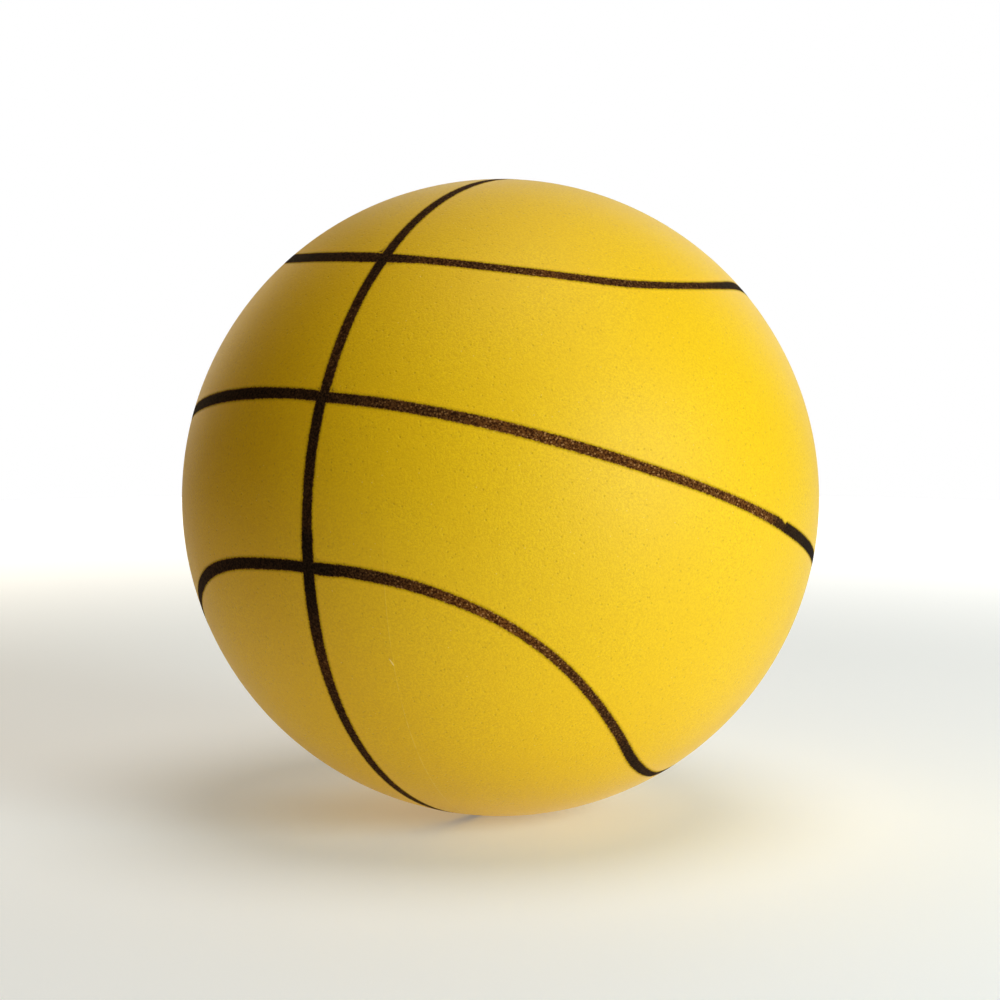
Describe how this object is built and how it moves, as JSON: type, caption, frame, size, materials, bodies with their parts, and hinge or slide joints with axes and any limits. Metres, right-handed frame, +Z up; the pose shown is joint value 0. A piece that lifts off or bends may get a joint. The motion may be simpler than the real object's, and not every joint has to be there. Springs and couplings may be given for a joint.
{
  "type": "playground ball",
  "caption": "Inflatable round rubber playground ball with a smooth yellow cover, sprayed basketball lines, a wound inner layer, an air bladder and a push-in needle valve.",
  "frame": {"origin": "centre of the ball", "axes": "+Z up as the ball is pictured; the cover's two halves meet in the plane X = 0; -X points out along the valve's needle channel"},
  "size_m": [0.2162, 0.216, 0.2162],
  "materials": {
    "cover_rubber": "matte",
    "ply_rubber": "matte",
    "nylon_thread": "satin",
    "butyl": "satin",
    "patch_cloth": "matte",
    "valve_rubber": "satin",
    "plug_rubber": "satin",
    "line_paint": "matte"
  },
  "bodies": {
    "ball": {"cover_valve_half": "cover_rubber", "cover_plain_half": "cover_rubber", "ply_valve_half": "ply_rubber", "ply_plain_half": "ply_rubber", "nylon_winding": "nylon_thread", "bladder_valve_half": "butyl", "bladder_plain_half": "butyl", "bladder_seam_strip": "butyl", "valve_patch": "patch_cloth", "valve_housing": "valve_rubber", "cross_line": "line_paint", "centre_line": "line_paint", "upper_side_line": "line_paint", "lower_side_line": "line_paint"},
    "plug": {"valve_plug": "plug_rubber"}
  },
  "joints": [
    {"name": "valve_plug_slide", "type": "slide", "parent": "ball", "child": "plug", "axis": [-1, 0, 0], "range_m": [0, 0.02]}
  ]
}
